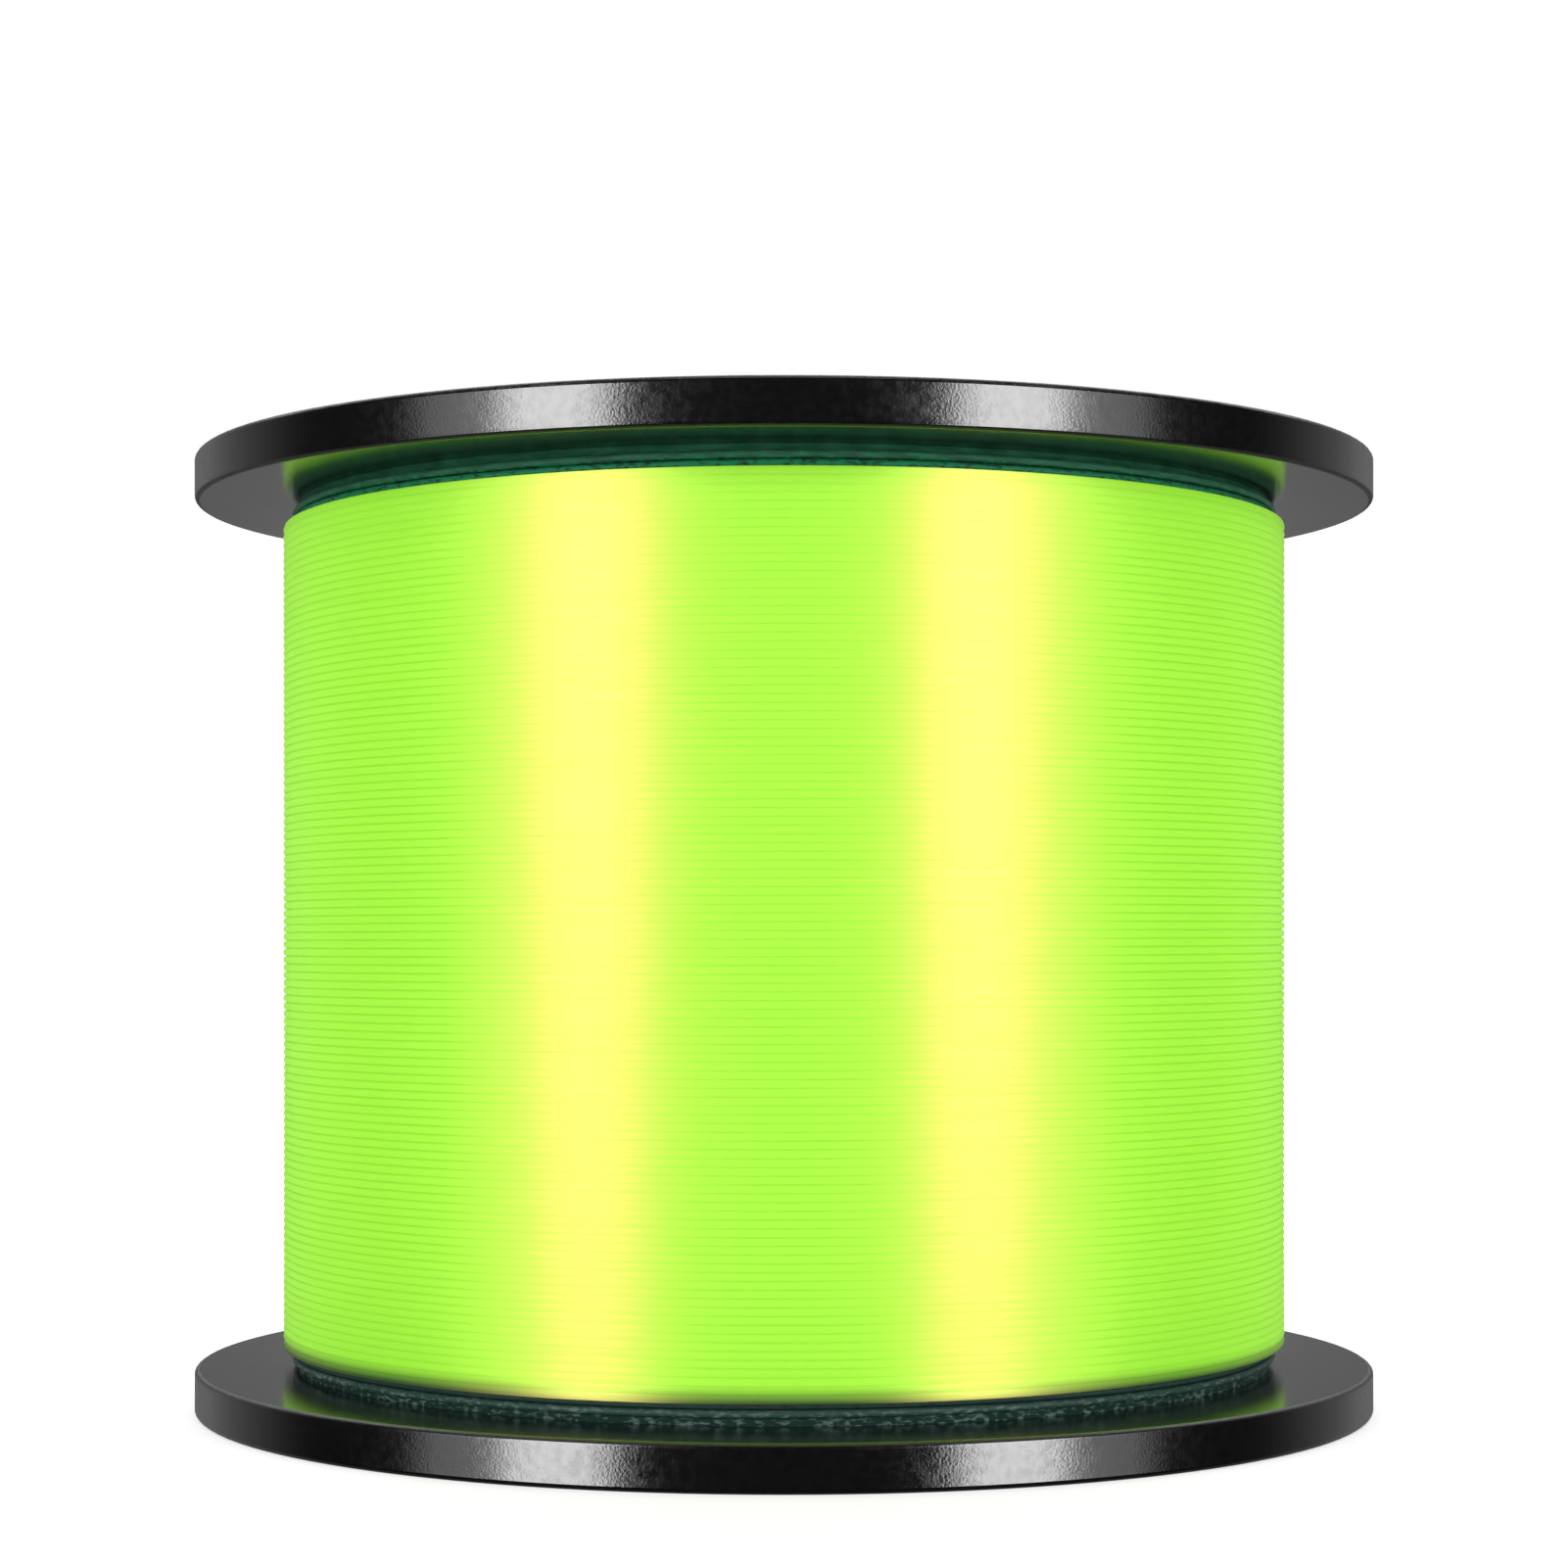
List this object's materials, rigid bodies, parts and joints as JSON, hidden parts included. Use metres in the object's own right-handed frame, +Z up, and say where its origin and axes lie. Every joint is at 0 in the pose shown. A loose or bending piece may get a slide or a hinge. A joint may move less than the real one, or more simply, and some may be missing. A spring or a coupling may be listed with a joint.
{
  "type": "fishing line spool",
  "caption": "Round flat-flanged spool on a ribbed core with a through bore, wound nearly full with bright monofilament line whose free end is held in a clip at the rim.",
  "frame": {"origin": "centre of the lower flange's outer face, on the spool's axis", "axes": "+Z up along the bore; -Y faces the pictured side; the clips that hold the free end are at the back, 75 degrees anticlockwise from +X"},
  "size_m": [0.0624, 0.0624, 0.05],
  "materials": {
    "spool_plastic": "satin black moulded polystyrene",
    "line": "smooth fluorescent yellow-green nylon monofilament",
    "line_below": "the same monofilament, dark green where it lies deep beside the flanges"
  },
  "bodies": {
    "root": {"upper_flange": "spool_plastic", "lower_flange": "spool_plastic", "core": "spool_plastic", "line_pack": "line_below", "line_outer_layer": "line", "line_start": "line"}
  },
  "joints": []
}
